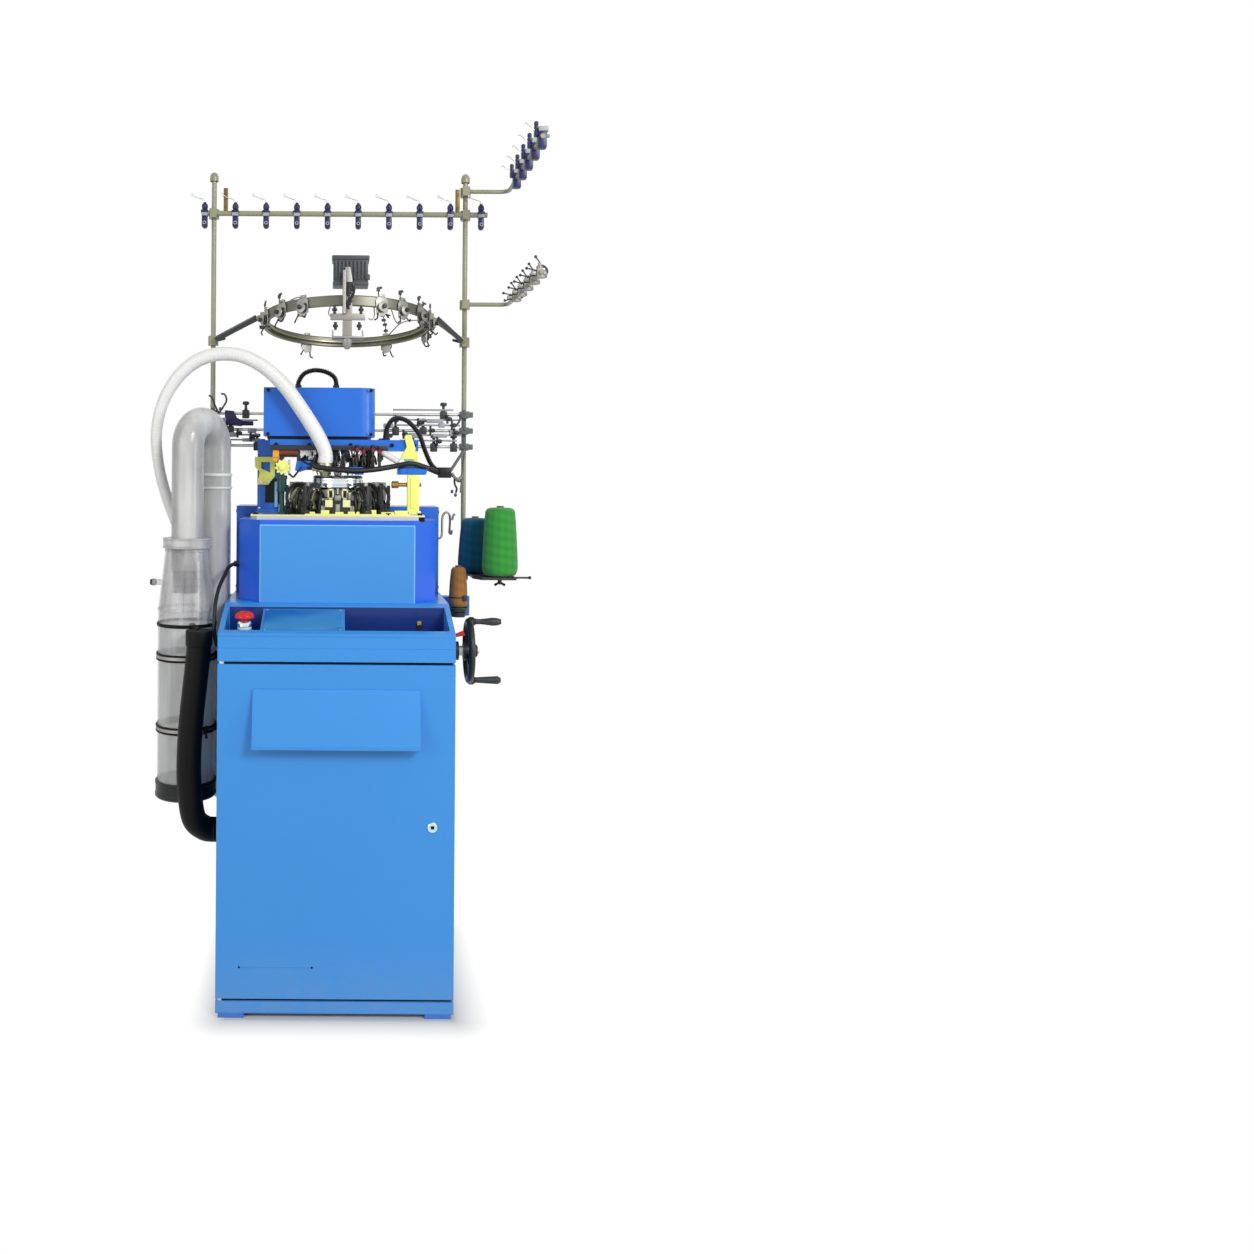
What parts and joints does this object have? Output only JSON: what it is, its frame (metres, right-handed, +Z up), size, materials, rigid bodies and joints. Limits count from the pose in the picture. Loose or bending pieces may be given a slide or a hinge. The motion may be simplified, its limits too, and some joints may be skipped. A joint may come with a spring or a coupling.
{
  "type": "sock knitting machine",
  "caption": "Circular sock knitting machine: blue cabinet with door and console, knitting head, yarn creel, clear sock duct with canister, cone tray and handwheel.",
  "frame": {"origin": "under the middle of the whole machine's box, on the floor", "axes": "+Z up, +X to the right and +Y to the back, seen from in front of the door"},
  "size_m": [0.9349, 0.5359, 1.985],
  "materials": {
    "blue_paint": "satin",
    "deep_blue_paint": "satin",
    "panel_blue": "satin",
    "yellow_paint": "gloss",
    "olive_paint": "gloss",
    "grey_paint": "satin",
    "dark_cast": "satin",
    "machined_steel": "satin",
    "bright_steel": "polished",
    "motor_aluminium": "satin",
    "black_plastic": "matte",
    "navy_plastic": "satin",
    "pale_plastic": "gloss",
    "red_plastic": "gloss",
    "clear_plastic": "gloss",
    "grey_clear_plastic": "gloss",
    "white_hose": "satin",
    "black_hose": "matte",
    "green_yarn": "matte",
    "teal_yarn": "matte",
    "orange_yarn": "matte"
  },
  "bodies": {
    "machine": {"skids": "deep_blue_paint", "cabinet_shell": "blue_paint", "hinge_pins": "machined_steel", "console": "blue_paint", "console_plate": "panel_blue", "estop_collar": "pale_plastic", "rear_housing": "deep_blue_paint", "front_cover": "blue_paint", "bed_plate": "machined_steel", "gear_case": "dark_cast", "head_column": "deep_blue_paint", "column_bracket": "yellow_paint", "right_post": "yellow_paint", "head_plate": "deep_blue_paint", "head_cover": "deep_blue_paint", "sinker_ring": "bright_steel", "cam_ring": "dark_cast", "yarn_fingers": "black_plastic", "selector_units": "black_plastic", "head_actuators": "motor_aluminium", "cables": "black_plastic", "suction_hose": "white_hose", "air_duct": "clear_plastic", "duct_collar": "pale_plastic", "funnel": "grey_clear_plastic", "canister": "grey_clear_plastic", "canister_rings": "black_plastic", "black_hose": "black_hose", "cone_tray": "dark_cast", "green_cone": "green_yarn", "teal_cone": "teal_yarn", "orange_cone": "orange_yarn", "wheel_bearing": "dark_cast", "post_brackets": "deep_blue_paint", "creel_posts": "olive_paint", "creel_bars": "olive_paint", "yarn_guides": "navy_plastic", "side_guides": "navy_plastic", "guide_ring": "olive_paint", "ring_tensioners": "black_plastic", "sensor_box": "black_plastic", "cross_rods": "machined_steel", "rod_units": "black_plastic", "shelf": "blue_paint", "drive_motor": "motor_aluminium", "drive_belt": "black_hose", "control_box": "grey_paint", "blower": "dark_cast", "sock_pipe": "black_hose"},
    "door": {"door": "blue_paint", "door_cowl": "blue_paint"},
    "lock": {"door_lock": "pale_plastic"},
    "stop_button": {"estop_button": "red_plastic"},
    "wheel": {"handwheel": "dark_cast", "drive_shaft": "machined_steel"},
    "upper_grip": {"upper_handle": "black_plastic"},
    "lower_grip": {"lower_handle": "black_plastic"},
    "motor_drive": {"motor_pulley": "machined_steel"},
    "cylinder": {"needle_cylinder": "machined_steel"},
    "dial": {"dial": "machined_steel"}
  },
  "joints": [
    {"name": "door_swing", "type": "hinge", "parent": "machine", "child": "door", "pos_m": [-0.2635, -0.224, 0.4], "axis": [0, 0, -1], "range_deg": [0, 100]},
    {"name": "lock_turn", "type": "hinge", "parent": "door", "child": "lock", "pos_m": [0.2025, -0.233, 0.421], "axis": [0, -1, 0], "range_deg": [0, 90]},
    {"name": "stop_push", "type": "slide", "parent": "machine", "child": "stop_button", "axis": [0, 0, -1], "range_m": [0, 0.005], "stiffness_N_per_m": 1500, "springref_m": -0.002},
    {"name": "wheel_turn", "type": "hinge", "parent": "machine", "child": "wheel", "pos_m": [0.3155, 0.067, 0.762], "axis": [1, 0, 0], "continuous": true},
    {"name": "upper_grip_spin", "type": "hinge", "parent": "wheel", "child": "upper_grip", "pos_m": [0.3595, 0.067, 0.834], "axis": [1, 0, 0], "continuous": true},
    {"name": "lower_grip_spin", "type": "hinge", "parent": "wheel", "child": "lower_grip", "pos_m": [0.3595, 0.067, 0.69], "axis": [1, 0, 0], "continuous": true},
    {"name": "motor_turn", "type": "hinge", "parent": "machine", "child": "motor_drive", "pos_m": [0.1525, -0.043, 0.56], "axis": [1, 0, 0], "continuous": true},
    {"name": "cylinder_turn", "type": "hinge", "parent": "machine", "child": "cylinder", "pos_m": [-0.0105, 0.067, 1.1], "axis": [0, 0, 1], "continuous": true},
    {"name": "dial_turn", "type": "hinge", "parent": "machine", "child": "dial", "pos_m": [-0.0105, 0.067, 1.165], "axis": [0, 0, 1], "continuous": true}
  ],
  "couplings": [
    {"joint": "motor_turn", "follows": "wheel_turn", "ratio": 2},
    {"joint": "cylinder_turn", "follows": "wheel_turn", "ratio": 1},
    {"joint": "dial_turn", "follows": "wheel_turn", "ratio": 1}
  ]
}
